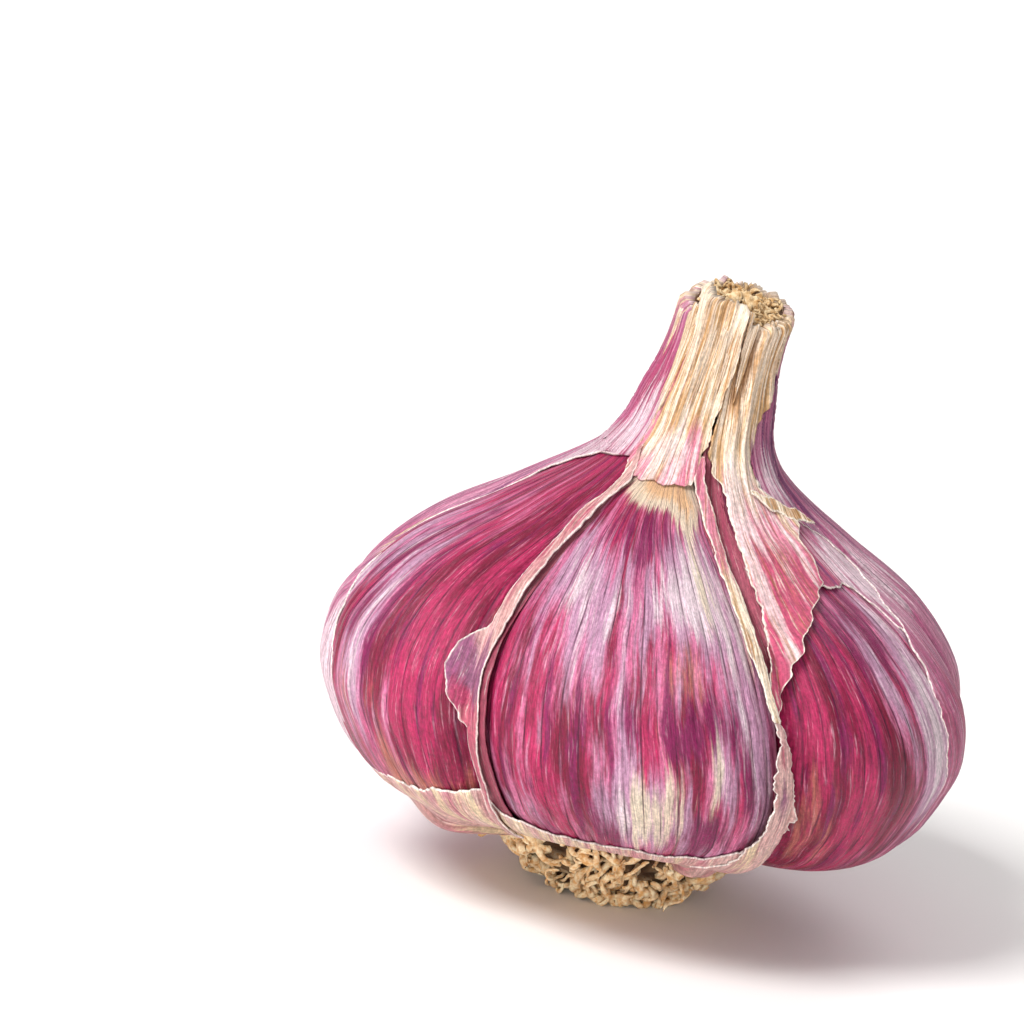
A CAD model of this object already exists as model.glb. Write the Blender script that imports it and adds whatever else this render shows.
"""A purple garlic bulb standing on its dried roots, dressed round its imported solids.

Lengths are millimetres in the row frame until a mesh is made: +Z runs up the bulb's axis and -Y
faces the front. Azimuths are degrees from the front, growing towards +X.
"""

import enum
import logging
import math
from collections.abc import Callable
from dataclasses import dataclass, field

import bpy
import numpy as np
from mathutils import Matrix, Vector


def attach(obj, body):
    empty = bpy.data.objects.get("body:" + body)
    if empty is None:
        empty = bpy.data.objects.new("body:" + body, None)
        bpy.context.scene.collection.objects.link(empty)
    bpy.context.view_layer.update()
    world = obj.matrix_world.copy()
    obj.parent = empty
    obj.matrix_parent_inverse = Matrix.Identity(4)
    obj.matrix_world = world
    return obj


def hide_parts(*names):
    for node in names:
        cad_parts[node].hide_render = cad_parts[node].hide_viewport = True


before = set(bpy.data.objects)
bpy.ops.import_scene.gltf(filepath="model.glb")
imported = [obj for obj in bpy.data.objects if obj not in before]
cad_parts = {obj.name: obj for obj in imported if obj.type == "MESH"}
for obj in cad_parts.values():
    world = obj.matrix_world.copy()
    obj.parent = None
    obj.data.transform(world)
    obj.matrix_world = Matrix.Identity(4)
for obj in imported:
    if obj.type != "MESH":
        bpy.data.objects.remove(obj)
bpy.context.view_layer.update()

log = logging.getLogger("garlic")

MM = 0.001
BODY = "root"
Array = np.ndarray
Edge = tuple[tuple[float, float], ...]
Draw = np.random.Generator
# Millimetres that stand for no torn edge near by
NO_EDGE = 9.0


# Small numeric helpers


def lerp(a: Array | float, b: Array | float, share: Array | float) -> Array | float:
    """Value between a and b at a share of the way."""
    return a + (b - a) * share


def smooth(x: Array | float, low: float, high: float) -> Array:
    """Soft step from 0 at low to 1 at high."""
    share = np.clip((np.asarray(x, float) - low) / (high - low), 0, 1)
    return share * share * (3 - 2 * share)


def bell(x: Array, width: float) -> Array:
    """Soft bump that is 1 at 0 and fades within a width."""
    return np.exp(-((x / width) ** 2))


def through(points: Edge, x: Array | float) -> Array:
    """Soft-cornered curve through points.

    Args:
        points: Pairs of x and value, with x growing.
        x: Places to read the curve at.

    Returns:
        The curve's values, held at its ends.
    """
    knots = np.array(points, float)
    at = np.clip(np.asarray(x, float), knots[0, 0], knots[-1, 0])
    i = np.clip(np.searchsorted(knots[:, 0], at, side="right") - 1, 0, len(knots) - 2)
    share = (at - knots[i, 0]) / (knots[i + 1, 0] - knots[i, 0])
    return lerp(knots[i, 1], knots[i + 1, 1], share * share * (3 - 2 * share))


class Grain:
    """Repeatable smooth noise over two directions, from -1 to 1."""

    SIDE = 128

    def __init__(self, seed: int) -> None:
        """Fills the lattice from a seed."""
        self.lattice = np.random.default_rng(seed).uniform(-1, 1, (self.SIDE, self.SIDE))

    def at(self, x: Array | float, y: Array | float = 0.0) -> Array:
        """Reads the noise.

        Args:
            x: Places along the first direction, one lattice step per unit.
            y: Places along the second direction.

        Returns:
            Noise at those places.
        """
        x, y = np.broadcast_arrays(np.asarray(x, float), np.asarray(y, float))
        ix, iy = np.floor(x).astype(int), np.floor(y).astype(int)
        fx, fy = smooth(x - ix, 0, 1), smooth(y - iy, 0, 1)
        near = lerp(self._corner(ix, iy), self._corner(ix + 1, iy), fx)
        far = lerp(self._corner(ix, iy + 1), self._corner(ix + 1, iy + 1), fx)
        return lerp(near, far, fy)

    def _corner(self, ix: Array, iy: Array) -> Array:
        """Lattice values at whole places."""
        return self.lattice[ix % self.SIDE, iy % self.SIDE]

    def torn(self, along: Array, row: float) -> Array:
        """Wander of a torn edge at millimetres along it: broad, small and fine tears."""
        broad, small = self.at(along / 2.9, row), self.at(along / 0.95, row + 9.5)
        return 0.55 * broad + 0.35 * small + 0.22 * self.at(along / 0.33, row + 21.5)


# The bulb's form


@dataclass(frozen=True)
class CloveShape:
    """Where one clove stands in the ring: degrees, and millimetres of reach."""

    azimuth: float
    half: float
    reach: float
    tip_lean: float
    shoulder: float

    def middle(self, z: Array) -> Array:
        """Azimuth of the clove's middle, which leans sideways near the tip."""
        return self.azimuth + self.tip_lean * smooth(z, 33, 45)


CLOVES: dict[str, CloveShape] = {
    "clove_front": CloveShape(0, 31.2, -0.25, -5, 0),
    "clove_left": CloveShape(-62.8, 30.5, -0.25, 6, 0.8),
    "clove_right": CloveShape(62.6, 30.4, -0.25, -6, 0.85),
    "clove_back_left": CloveShape(-122.5, 28.1, -0.7, 3, 0.5),
    "clove_back_right": CloveShape(122.3, 28.2, -0.5, -4, 0.4),
    "clove_back": CloveShape(180, 28.4, -0.9, 2, 0.5),
}


@dataclass
class BulbForm:
    """The shape that every layer of the bulb follows."""

    neck_top: float = 61.6
    neck_bore: float = 4.0
    clove_foot: float = 8.2
    clove_tip: float = 45.8
    clove_core: float = 5.2
    bulb_radius: float = 33.1
    groove: float = 4.0
    widest: float = 0.7
    corner: float = 2.9
    twist_rate: float = -0.35
    twist_level: float = 20.0
    neck_lean: float = 2.9
    lean_from: float = 41.0
    cut_tilt: float = 1.1
    cut_high_side: float = 205.0
    samples: int = 6001
    length: float = field(init=False)

    def __post_init__(self) -> None:
        """Samples the crest outline, a curve through radii and heights, and its slopes."""
        knots = np.array(
            [(11.9, self.clove_foot), (19.8, 8.7), (25.4, 10.2), (29.4, 13.2), (32.2, 17.6)]
            + [(self.bulb_radius, 21.6), (31.7, 27.0), (26.4, 33.0), (18.2, 38.4), (11.6, 42.9)]
            + [(8.2, 45.9), (6.0, 48.8), (4.6, 52.6), (self.neck_bore, 57.0)]
            + [(self.neck_bore + 0.1, self.neck_top), (self.neck_bore + 0.2, self.neck_top + 4)]
        )
        last = len(knots) - 1
        turn = last * np.linspace(0, 1, self.samples)
        i = np.minimum(turn.astype(int), last - 1)
        w = (turn - i)[:, None]
        before, here = knots[np.maximum(i - 1, 0)], knots[i]
        then, after = knots[i + 1], knots[np.minimum(i + 2, last)]
        start, end = (then - before) / 2, (after - here) / 2
        curve = (2 * here - 2 * then + start + end) * w**3
        curve += (-3 * here + 3 * then - 2 * start - end) * w**2 + start * w + here
        steps = np.hypot(*np.diff(curve, axis=0).T)
        along = np.concatenate([[0], np.cumsum(steps)])
        self.length = float(along[-1])
        self._share = along / self.length
        self._curve = curve
        self._slope = np.gradient(curve, along, axis=0)

    def share_at(self, z: Array | float) -> Array:
        """Share of the crest outline's length at a height."""
        return np.interp(z, self._curve[:, 1], self._share)

    def crest(self, share: Array) -> tuple[Array, Array]:
        """Radius and height of the crest outline at a share of its length."""
        radius = np.interp(share, self._share, self._curve[:, 0])
        return radius, np.interp(share, self._share, self._curve[:, 1])

    def slope(self, share: Array) -> tuple[Array, Array]:
        """Unit direction of the crest outline, as radius and height."""
        out = np.interp(share, self._share, self._slope[:, 0])
        return out, np.interp(share, self._share, self._slope[:, 1])

    def place(self, azimuth: Array, radius: Array, z: Array) -> Array:
        """Points of the bulb, with its twist, its drawn-in foot and the neck's lean.

        Args:
            azimuth: Azimuths.
            radius: Distances from the axis.
            z: Heights.

        Returns:
            Points with a last axis of three.
        """
        angle = np.radians(azimuth + self.twist_rate * (z - self.twist_level))
        rise = np.clip((z - self.lean_from) / (self.neck_top - self.lean_from), 0, None)
        lean = self.neck_lean * rise**1.1
        z = z + self.foot_shift(azimuth) * (1 - smooth(z, 10, 18))
        return np.stack([radius * np.sin(angle) + lean, -radius * np.cos(angle), z + 0 * angle], -1)

    def foot_shift(self, azimuth: Array) -> Array:
        """How much higher the foot is drawn in at the front, and lower at the two sides.

        Args:
            azimuth: Azimuths.

        Returns:
            Millimetres upwards.
        """
        turn = (np.asarray(azimuth) + 180) % 360 - 180
        shift = 0 * turn
        for height, middle in ((1.1, -2), (-1.5, 80), (-0.5, -72)):
            shift = shift + height * bell(turn - middle, 30)
        return shift

    def valley(self, azimuth: Array, radius: Array, z: Array) -> Array:
        """How far a leaf sinks towards the cloves beside their crests.

        Args:
            azimuth: Azimuths.
            radius: Crest radii there.
            z: Heights.

        Returns:
            Millimetres inwards.
        """
        share = np.ones(np.broadcast(azimuth, z).shape)
        for shape in CLOVES.values():
            away = np.abs(azimuth - shape.middle(z)) % 360
            share = np.minimum(share, np.minimum(away, 360 - away) / shape.half)
        hollow = 1 - (1 - share**self.corner) ** (1 / self.corner)
        fall = (1 - self.widest) * np.maximum(0, radius - self.clove_core) * hollow
        return self.groove * (1 - np.exp(-fall / self.groove)) * (1 - smooth(z, 44, 48))

    def over_crest(self, azimuth: Array, share: Array, distance: Array) -> Array:
        """Points at a distance over the crests.

        Args:
            azimuth: Azimuths.
            share: Shares of the crest outline's length.
            distance: Millimetres outwards from the crests and their valleys.

        Returns:
            Points with a last axis of three.
        """
        radius, z = self.crest(share)
        out, up = self.slope(share)
        lift = distance - self.valley(azimuth, radius, z) * up
        return self.place(azimuth, radius + up * lift, z - out * lift)

    def cut(self, azimuth: Array) -> Array:
        """Height of the neck's slanting cut above its middle."""
        return self.cut_tilt * np.cos(np.radians(azimuth - self.cut_high_side))


# Meshes


class Tint(enum.IntEnum):
    """Channels of the painted patches that steer a skin's colours."""

    PALE = 0
    CREAM = 1
    VIOLET = 2
    WARM = 3


@dataclass(frozen=True)
class Patch:
    """A soft patch of colour: its channel, azimuth or clove share, height, spans and strength."""

    tint: Tint
    across: float
    z: float
    wide: float
    tall: float
    strength: float


def patches(**layouts: tuple[tuple[float, ...], ...]) -> tuple[Patch, ...]:
    """Patches by channel name, each given as across, z, wide, tall and strength."""
    return tuple(Patch(Tint[name.upper()], *row) for name, rows in layouts.items() for row in rows)


def painted(layout: tuple[Patch, ...], across: Array, z: Array) -> Array:
    """Adds up soft patches.

    Args:
        layout: The patches.
        across: Azimuth or clove share of each vertex.
        z: Height of each vertex.

    Returns:
        Four channels per vertex.
    """
    tint = np.zeros(across.shape + (4,))
    for patch in layout:
        away = ((across - patch.across) / patch.wide) ** 2 + ((z - patch.z) / patch.tall) ** 2
        tint[..., patch.tint] += patch.strength * np.exp(-away)
    return tint


@dataclass
class Surface:
    """Vertices, faces and what the finishes read, gathered for one piece.

    detail holds the vein phase, the distance from a torn edge and the depth of a hollow, grain the
    millimetres across and along the veins, and tint the painted patches.
    """

    points: list[Array] = field(default_factory=list)
    faces: list[Array] = field(default_factory=list)
    detail: list[Array] = field(default_factory=list)
    grain: list[Array] = field(default_factory=list)
    tint: list[Array] = field(default_factory=list)
    count: int = 0

    def add(
        self,
        points: Array,
        faces: Array,
        detail: Array,
        grain: Array | None = None,
        tint: Array | None = None,
    ) -> None:
        """Adds a part.

        Args:
            points: Vertices, millimetres.
            faces: Four vertex numbers each, counted within this part.
            detail: Three values per vertex.
            grain: Two values per vertex, or none on a part without veins.
            tint: Four values per vertex, or none on a part without patches.
        """
        count = points.size // 3
        self.points.append(points.reshape(-1, 3))
        self.faces.append(faces.reshape(-1, 4) + self.count)
        self.detail.append(np.pad(detail.reshape(-1, 3), ((0, 0), (0, 1))))
        self.grain.append(np.zeros((count, 2)) if grain is None else grain.reshape(-1, 2))
        self.tint.append(np.zeros((count, 4)) if tint is None else tint.reshape(-1, 4))
        self.count += count

    def add_dark(self, points: Array, faces: Array, depth: Array) -> None:
        """Adds a part of root or pith, which has a depth and nothing else."""
        self.add(points, faces, np.stack([0 * depth, 0 * depth, depth], -1))

    def finish(
        self, name: str, material: bpy.types.Material, slot: str, nodes: tuple[str, ...]
    ) -> None:
        """Makes the object and ties it to the frame.

        Args:
            name: The piece's name.
            material: Its finish.
            slot: The record's material slot.
            nodes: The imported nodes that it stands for.
        """
        points = np.concatenate(self.points) * MM
        faces = [list(dict.fromkeys(face)) for face in np.concatenate(self.faces).tolist()]
        mesh = bpy.data.meshes.new(name)
        mesh.from_pydata(points.tolist(), [], faces)
        corners = np.empty(len(mesh.loops), np.int32)
        mesh.loops.foreach_get("vertex_index", corners)
        layer = mesh.uv_layers.new(name="grain")
        layer.data.foreach_set("uv", np.concatenate(self.grain)[corners].astype(np.float32).ravel())
        for label, values in (("tint", self.tint), ("detail", self.detail)):
            attribute = mesh.attributes.new(label, "FLOAT_COLOR", "POINT")
            attribute.data.foreach_set("color", np.concatenate(values).astype(np.float32).ravel())
        mesh.polygons.foreach_set("use_smooth", np.ones(len(mesh.polygons), bool))
        mesh.materials.append(material)
        mesh.update()
        piece = bpy.data.objects.new(name, mesh)
        bpy.context.scene.collection.objects.link(piece)
        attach(piece, BODY)
        if nodes:
            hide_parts(*nodes)
        log.info("%s: %d vertices, %d faces", name, len(points), len(faces))


def grid_faces(rows: int, columns: int, closed: bool = False) -> Array:
    """Quads of a grid of vertices.

    Args:
        rows: Rows of vertices.
        columns: Vertices in a row.
        closed: Whether each row is joined round.

    Returns:
        Four vertex numbers a face.
    """
    i, j = np.meshgrid(np.arange(rows - 1), np.arange(columns - (not closed)), indexing="ij")
    right = (j + 1) % columns
    quads = [i * columns + j, i * columns + right, (i + 1) * columns + right, (i + 1) * columns + j]
    return np.stack(quads, -1).reshape(-1, 4)


def sheet_faces(rows: int, columns: int) -> Array:
    """Quads of a thin sheet: an outer grid, then an inner grid, joined along the rim.

    Args:
        rows: Rows of vertices on each side.
        columns: Vertices in a row.

    Returns:
        Four vertex numbers a face.
    """
    outer = grid_faces(rows, columns)
    back = rows * columns
    inner = outer[:, ::-1] + back
    top = (rows - 1) * columns
    rim = []
    for j in range(columns - 1):
        rim.append((j + 1, j, back + j, back + j + 1))
        rim.append((top + j, top + j + 1, back + top + j + 1, back + top + j))
    for i in range(rows - 1):
        here, above = i * columns, (i + 1) * columns
        rim.append((here, above, back + above, back + here))
        end, over = here + columns - 1, above + columns - 1
        rim.append((over, end, back + end, back + over))
    return np.concatenate([outer, inner, np.array(rim)])


def grid_normals(points: Array) -> Array:
    """Unit normals of a grid that is closed along its second axis.

    Args:
        points: The grid's points.

    Returns:
        A normal for each of them.
    """
    around = np.roll(points, -1, axis=1) - np.roll(points, 1, axis=1)
    normal = np.cross(around, np.gradient(points, axis=0))
    return normal / np.maximum(np.linalg.norm(normal, axis=-1, keepdims=True), 1e-9)


# Finishes

MATH, VECTOR_MATH, RANGE = "ShaderNodeMath", "ShaderNodeVectorMath", "ShaderNodeMapRange"
MIX, NOISE, BUMP = "ShaderNodeMix", "ShaderNodeTexNoise", "ShaderNodeBump"
ATTRIBUTE, CHANNELS = "ShaderNodeAttribute", "ShaderNodeSeparateColor"
SHADER, OUTPUT = "ShaderNodeBsdfPrincipled", "ShaderNodeOutputMaterial"
SOFT_STEP = {"interpolation_type": "SMOOTHSTEP"}
MULTIPLY_ADD = {"operation": "MULTIPLY_ADD"}
LAY_OVER = {"data_type": "RGBA"}
SHADE_WITH = {"data_type": "RGBA", "blend_type": "MULTIPLY"}
# Offsets that keep the layers of noise apart
WAVER_SALT, WORN_SALT, TEAR_SALT, SPECK_SALT, FIBRE_SALT = 13.0, 23.0, 41.0, 57.0, 91.0


def linear(code: str) -> tuple[float, float, float, float]:
    """Linear colour of an sRGB hex code.

    Args:
        code: A hash and six hex digits.

    Returns:
        Red, green, blue and full cover.
    """
    parts = [int(code[i : i + 2], 16) / 255 for i in (1, 3, 5)]
    red, green, blue = [c / 12.92 if c <= 0.04045 else ((c + 0.055) / 1.055) ** 2.4 for c in parts]
    return red, green, blue, 1.0


def add_node(
    tree: bpy.types.NodeTree,
    kind: str,
    settings: dict[str, object] | None = None,
    inputs: dict[str | int, object] | None = None,
) -> bpy.types.Node:
    """Adds a node.

    Args:
        tree: The node tree.
        kind: The node's type.
        settings: Values of the node's properties.
        inputs: A value or a socket to link, by input name or number.

    Returns:
        The node.
    """
    node = tree.nodes.new(kind)
    for key, value in (settings or {}).items():
        setattr(node, key, value)
    for key, value in (inputs or {}).items():
        if isinstance(value, bpy.types.NodeSocket):
            tree.links.new(value, node.inputs[key])
        else:
            node.inputs[key].default_value = value
    return node


def bare_material(name: str) -> bpy.types.Material:
    """Makes a material with an empty node tree.

    Args:
        name: The material's name.

    Returns:
        The material.
    """
    material = bpy.data.materials.new(name)
    material.use_nodes = True
    material.node_tree.nodes.clear()
    return material


@dataclass(frozen=True)
class Streak:
    """One layer of colour drawn out along the veins.

    across and along are the size of its streaks in millimetres. It shows where its noise passes
    from low to high, and more where the painted channel is strong.
    """

    colour: str
    across: float
    along: float
    low: float
    high: float
    tint: Tint | None = None
    gain: float = 0.4
    cover: float = 1.0


@dataclass(frozen=True)
class SkinFinish:
    """A leaf of the garlic, dried to a striped paper with a satin face.

    Pairs are sizes across and along the veins in millimetres: of the fibres, of the specks, of the
    slow waver of the streaks, of the veins' worn stretches and of the torn edge's unevenness.
    """

    name: str
    ground: str
    streaks: tuple[Streak, ...]
    vein: str
    vein_strength: float
    edge: str
    edge_mm: float
    roughness: float
    fibre: tuple[float, float] = (0.16, 2.6)
    speck: tuple[float, float] = (0.34, 0.5)
    waver: tuple[float, float] = (6.0, 8.0)
    wear: tuple[float, float] = (1.4, 9.0)
    tear: tuple[float, float] = (0.7, 1.6)
    waver_mm: float = 1.1
    fibre_shade: float = 0.36
    speck_shade: float = 0.28
    bump: float = 0.65
    bump_mm: float = 0.16
    hollow: str = "#4A0A20"

    def pattern(
        self,
        tree: bpy.types.NodeTree,
        grain: object,
        size: tuple[float, float],
        salt: float,
        detail: float = 4.5,
    ) -> bpy.types.NodeSocket:
        """Noise drawn out along the veins.

        Args:
            tree: The material's nodes.
            grain: Socket with millimetres across and along the veins.
            size: Size of the streaks across and along the veins, millimetres.
            salt: Offset that keeps layers apart.
            detail: How much finer detail it has.

        Returns:
            The noise's socket.
        """
        scale = (1 / size[0], 1 / size[1], 0)
        scaled = add_node(
            tree, VECTOR_MATH, MULTIPLY_ADD, {0: grain, 1: scale, 2: (salt, salt * 1.7, 0)}
        ).outputs[0]
        inputs = {"Vector": scaled, "Scale": 1.0, "Detail": detail, "Roughness": 0.66}
        return add_node(tree, NOISE, {"noise_dimensions": "2D"}, inputs).outputs["Fac"]

    def make(self) -> bpy.types.Material:
        """Builds the material: streaks over the ground colour, veins, pale torn edges, fibres.

        Returns:
            The material.
        """
        material = bare_material(self.name)
        tree = material.node_tree
        grain = add_node(tree, "ShaderNodeUVMap", {"uv_map": "grain"}).outputs[0]
        tint = add_node(tree, ATTRIBUTE, {"attribute_name": "tint"})
        detail = add_node(tree, ATTRIBUTE, {"attribute_name": "detail"})
        shares = add_node(tree, CHANNELS, None, {0: tint.outputs["Color"]})
        phase, edge, depth = add_node(tree, CHANNELS, None, {0: detail.outputs["Color"]}).outputs
        waver = self.pattern(tree, grain, self.waver, WAVER_SALT, detail=0.6)
        grain = add_node(
            tree, VECTOR_MATH, MULTIPLY_ADD, {0: waver, 1: (self.waver_mm, 0, 0), 2: grain}
        ).outputs[0]
        colour = self._streaks(tree, grain, [*shares.outputs, tint.outputs["Alpha"]])
        colour = self._veins(tree, grain, phase, colour)
        colour = self._torn_edge(tree, grain, edge, colour)
        sunk = {0: depth, 1: 0.0, 2: 1.0, 3: 0.0, 4: 0.85}
        amount = add_node(tree, RANGE, SOFT_STEP, sunk).outputs[0]
        laid = {0: amount, 6: colour, 7: linear(self.hollow)}
        colour = add_node(tree, MIX, LAY_OVER, laid).outputs[2]
        self._face(tree, grain, colour)
        return material

    def _streaks(
        self, tree: bpy.types.NodeTree, grain: object, tints: list[object]
    ) -> bpy.types.NodeSocket:
        """Lays the streaks over the ground colour.

        Args:
            tree: The material's nodes.
            grain: Socket with millimetres across and along the veins.
            tints: Sockets of the painted channels.

        Returns:
            The colour's socket.
        """
        colour: object = linear(self.ground)
        for number, layer in enumerate(self.streaks):
            noise = self.pattern(tree, grain, (layer.across, layer.along), 7.3 * number + 3.1)
            if layer.tint is not None:
                steered = {0: tints[layer.tint], 1: layer.gain, 2: noise}
                noise = add_node(tree, MATH, MULTIPLY_ADD, steered).outputs[0]
            shown = {0: noise, 1: layer.low, 2: layer.high, 3: 0.0, 4: layer.cover}
            amount = add_node(tree, RANGE, SOFT_STEP, shown).outputs[0]
            laid = {0: amount, 6: colour, 7: linear(layer.colour)}
            colour = add_node(tree, MIX, LAY_OVER, laid).outputs[2]
        return colour

    def _veins(
        self, tree: bpy.types.NodeTree, grain: object, phase: object, colour: object
    ) -> bpy.types.NodeSocket:
        """Draws a thin worn vein wherever the phase passes a whole number and a half.

        Args:
            tree: The material's nodes.
            grain: Socket with millimetres across and along the veins.
            phase: Socket that grows by one from vein to vein.
            colour: Socket of the colour under the veins.

        Returns:
            The colour's socket.
        """
        place = add_node(tree, MATH, {"operation": "FRACT"}, {0: phase}).outputs[0]
        centred = add_node(tree, MATH, {"operation": "SUBTRACT"}, {0: place, 1: 0.5}).outputs[0]
        away = add_node(tree, MATH, {"operation": "ABSOLUTE"}, {0: centred}).outputs[0]
        drawn = {0: away, 1: 0.01, 2: 0.08, 3: self.vein_strength, 4: 0.0}
        line = add_node(tree, RANGE, SOFT_STEP, drawn).outputs[0]
        worn = self.pattern(tree, grain, self.wear, WORN_SALT)
        kept = add_node(tree, RANGE, None, {0: worn, 1: 0.38, 2: 0.6, 3: 0.15, 4: 1.0}).outputs[0]
        amount = add_node(tree, MATH, {"operation": "MULTIPLY"}, {0: line, 1: kept}).outputs[0]
        laid = {0: amount, 6: colour, 7: linear(self.vein)}
        return add_node(tree, MIX, LAY_OVER, laid).outputs[2]

    def _torn_edge(
        self, tree: bpy.types.NodeTree, grain: object, edge: object, colour: object
    ) -> bpy.types.NodeSocket:
        """Bleaches the skin near its torn edge, unevenly.

        Args:
            tree: The material's nodes.
            grain: Socket with millimetres across and along the veins.
            edge: Socket with the distance from the torn edge.
            colour: Socket of the skin's colour.

        Returns:
            The colour's socket.
        """
        noise = self.pattern(tree, grain, self.tear, TEAR_SALT)
        reach = add_node(
            tree, MATH, MULTIPLY_ADD, {0: noise, 1: -self.edge_mm * 1.6, 2: edge}
        ).outputs[0]
        bleached = {0: reach, 1: -self.edge_mm, 2: self.edge_mm * 0.5, 3: 0.95, 4: 0.0}
        amount = add_node(tree, RANGE, SOFT_STEP, bleached).outputs[0]
        laid = {0: amount, 6: colour, 7: linear(self.edge)}
        return add_node(tree, MIX, LAY_OVER, laid).outputs[2]

    def _face(self, tree: bpy.types.NodeTree, grain: object, colour: object) -> None:
        """Gives the skin its fibres and specks, in colour, gloss and relief, and its shader.

        Args:
            tree: The material's nodes.
            grain: Socket with millimetres across and along the veins.
            colour: Socket of the skin's colour.
        """
        fibres = self.pattern(tree, grain, self.fibre, FIBRE_SALT)
        specks = self.pattern(tree, grain, self.speck, SPECK_SALT)
        for noise, spread in ((fibres, self.fibre_shade), (specks, self.speck_shade)):
            around = {0: noise, 1: 0.28, 2: 0.72, 3: 0.98 - spread, 4: 0.98 + spread}
            shade = add_node(tree, RANGE, None, around).outputs[0]
            colour = add_node(tree, MIX, SHADE_WITH, {0: 1.0, 6: colour, 7: shade}).outputs[2]
        dull = {0: specks, 1: 0.3, 2: 0.7, 3: self.roughness - 0.07, 4: self.roughness + 0.09}
        relief = add_node(tree, MATH, MULTIPLY_ADD, {0: specks, 1: 0.5, 2: fibres}).outputs[0]
        raised = {"Strength": self.bump, "Distance": self.bump_mm * MM, "Height": relief}
        face = {
            "Base Color": colour,
            "Roughness": add_node(tree, RANGE, None, dull).outputs[0],
            "Normal": add_node(tree, BUMP, None, raised).outputs[0],
            "IOR": 1.45,
            "Specular IOR Level": 0.42,
        }
        add_node(tree, OUTPUT, None, {0: add_node(tree, SHADER, None, face).outputs[0]})


@dataclass(frozen=True)
class RootFinish:
    """Dried garlic root: dull straw-brown fibre, dark where dust lies between the roots."""

    name: str = "dried_root"
    light: str = "#FFEDC6"
    dark: str = "#DEA768"
    crevice: str = "#33190A"
    lump_mm: float = 0.6
    bump: float = 0.8
    bump_mm: float = 0.3

    def make(self) -> bpy.types.Material:
        """Builds the material: mottled straw brown, darker with depth, fully matt.

        Returns:
            The material.
        """
        material = bare_material(self.name)
        tree = material.node_tree
        detail = add_node(tree, ATTRIBUTE, {"attribute_name": "detail"}).outputs["Color"]
        depth = add_node(tree, CHANNELS, None, {0: detail}).outputs[2]
        where = add_node(tree, "ShaderNodeTexCoord").outputs["Object"]
        scale = 1 / (self.lump_mm * MM)
        lumps = {"Vector": where, "Scale": scale, "Detail": 3.0, "Roughness": 0.65}
        noise = add_node(tree, NOISE, None, lumps).outputs["Fac"]
        spread = {0: noise, 1: 0.36, 2: 0.64, 3: 0.0, 4: 1.0}
        mottle = add_node(tree, RANGE, None, spread).outputs[0]
        mixed = {0: mottle, 6: linear(self.dark), 7: linear(self.light)}
        straw = add_node(tree, MIX, LAY_OVER, mixed).outputs[2]
        sunk = {0: depth, 1: 0.0, 2: 1.0, 3: 0.0, 4: 0.97}
        dusty = add_node(tree, RANGE, None, sunk).outputs[0]
        shaded = {0: dusty, 6: straw, 7: linear(self.crevice)}
        raised = {"Strength": self.bump, "Distance": self.bump_mm * MM, "Height": noise}
        face = {
            "Base Color": add_node(tree, MIX, LAY_OVER, shaded).outputs[2],
            "Roughness": 0.88,
            "Normal": add_node(tree, BUMP, None, raised).outputs[0],
            "Specular IOR Level": 0.2,
        }
        add_node(tree, OUTPUT, None, {0: add_node(tree, SHADER, None, face).outputs[0]})
        return material


# Clove skin: a taut satin paper, crimson to purple, with pale and cream stripes from foot to tip
CLOVE_FINISH = SkinFinish(
    name="clove_paper",
    ground="#72082E",
    streaks=(
        Streak("#AC2455", 3.2, 22, 0.36, 0.6, cover=0.92),
        Streak("#C96E94", 2.2, 17, 0.48, 0.68, Tint.PALE, 0.16, 0.85),
        Streak("#BA765F", 1.6, 14, 0.64, 0.94, Tint.WARM, 0.22, 0.7),
        Streak("#760F49", 1.5, 15, 0.54, 0.7, Tint.VIOLET, 0.2, 0.9),
        Streak("#B489A4", 1.6, 18, 0.59, 0.82, Tint.PALE, 0.27, 0.88),
        Streak("#DAC6CC", 1.1, 15, 0.74, 0.98, Tint.PALE, 0.27, 0.9),
        Streak("#DDCDB2", 0.8, 16, 0.74, 1.0, Tint.CREAM, 0.36, 0.86),
        Streak("#D6A678", 1.0, 2.4, 1.15, 1.6, Tint.CREAM, 0.38, 0.85),
        Streak("#5A0A34", 0.32, 9, 0.56, 0.7, cover=0.5),
        Streak("#E7BCCB", 0.28, 5, 0.57, 0.76, cover=0.36),
    ),
    vein="#3F0A2A",
    vein_strength=0.85,
    edge="#EADCD8",
    edge_mm=0.01,
    roughness=0.4,
)
# Outer leaf: thinner, drier paper, pink between purple veins, bleached where it is torn
WRAPPER_FINISH = SkinFinish(
    name="wrapper_paper",
    ground="#B05C80",
    streaks=(
        Streak("#C98BA3", 2.4, 36, 0.45, 0.62, cover=0.8),
        Streak("#A02C58", 1.8, 30, 0.6, 0.76, Tint.WARM, 0.3, 0.8),
        Streak("#65295C", 1.3, 34, 0.56, 0.7, Tint.VIOLET, 0.22, 0.85),
        Streak("#DCC4CC", 1.5, 26, 0.64, 0.8, Tint.PALE, 0.3, 0.9),
        Streak("#D9C09C", 1.2, 22, 0.78, 0.94, Tint.CREAM, 0.5, 0.95),
        Streak("#B98A50", 0.7, 14, 0.9, 1.05, Tint.CREAM, 0.3, 0.6),
        Streak("#862350", 0.36, 11, 0.54, 0.68, cover=0.6),
        Streak("#EBD6DC", 0.3, 6, 0.58, 0.74, cover=0.5),
    ),
    vein="#551F4A",
    vein_strength=0.65,
    edge="#EFE3DC",
    edge_mm=0.2,
    roughness=0.5,
)
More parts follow.
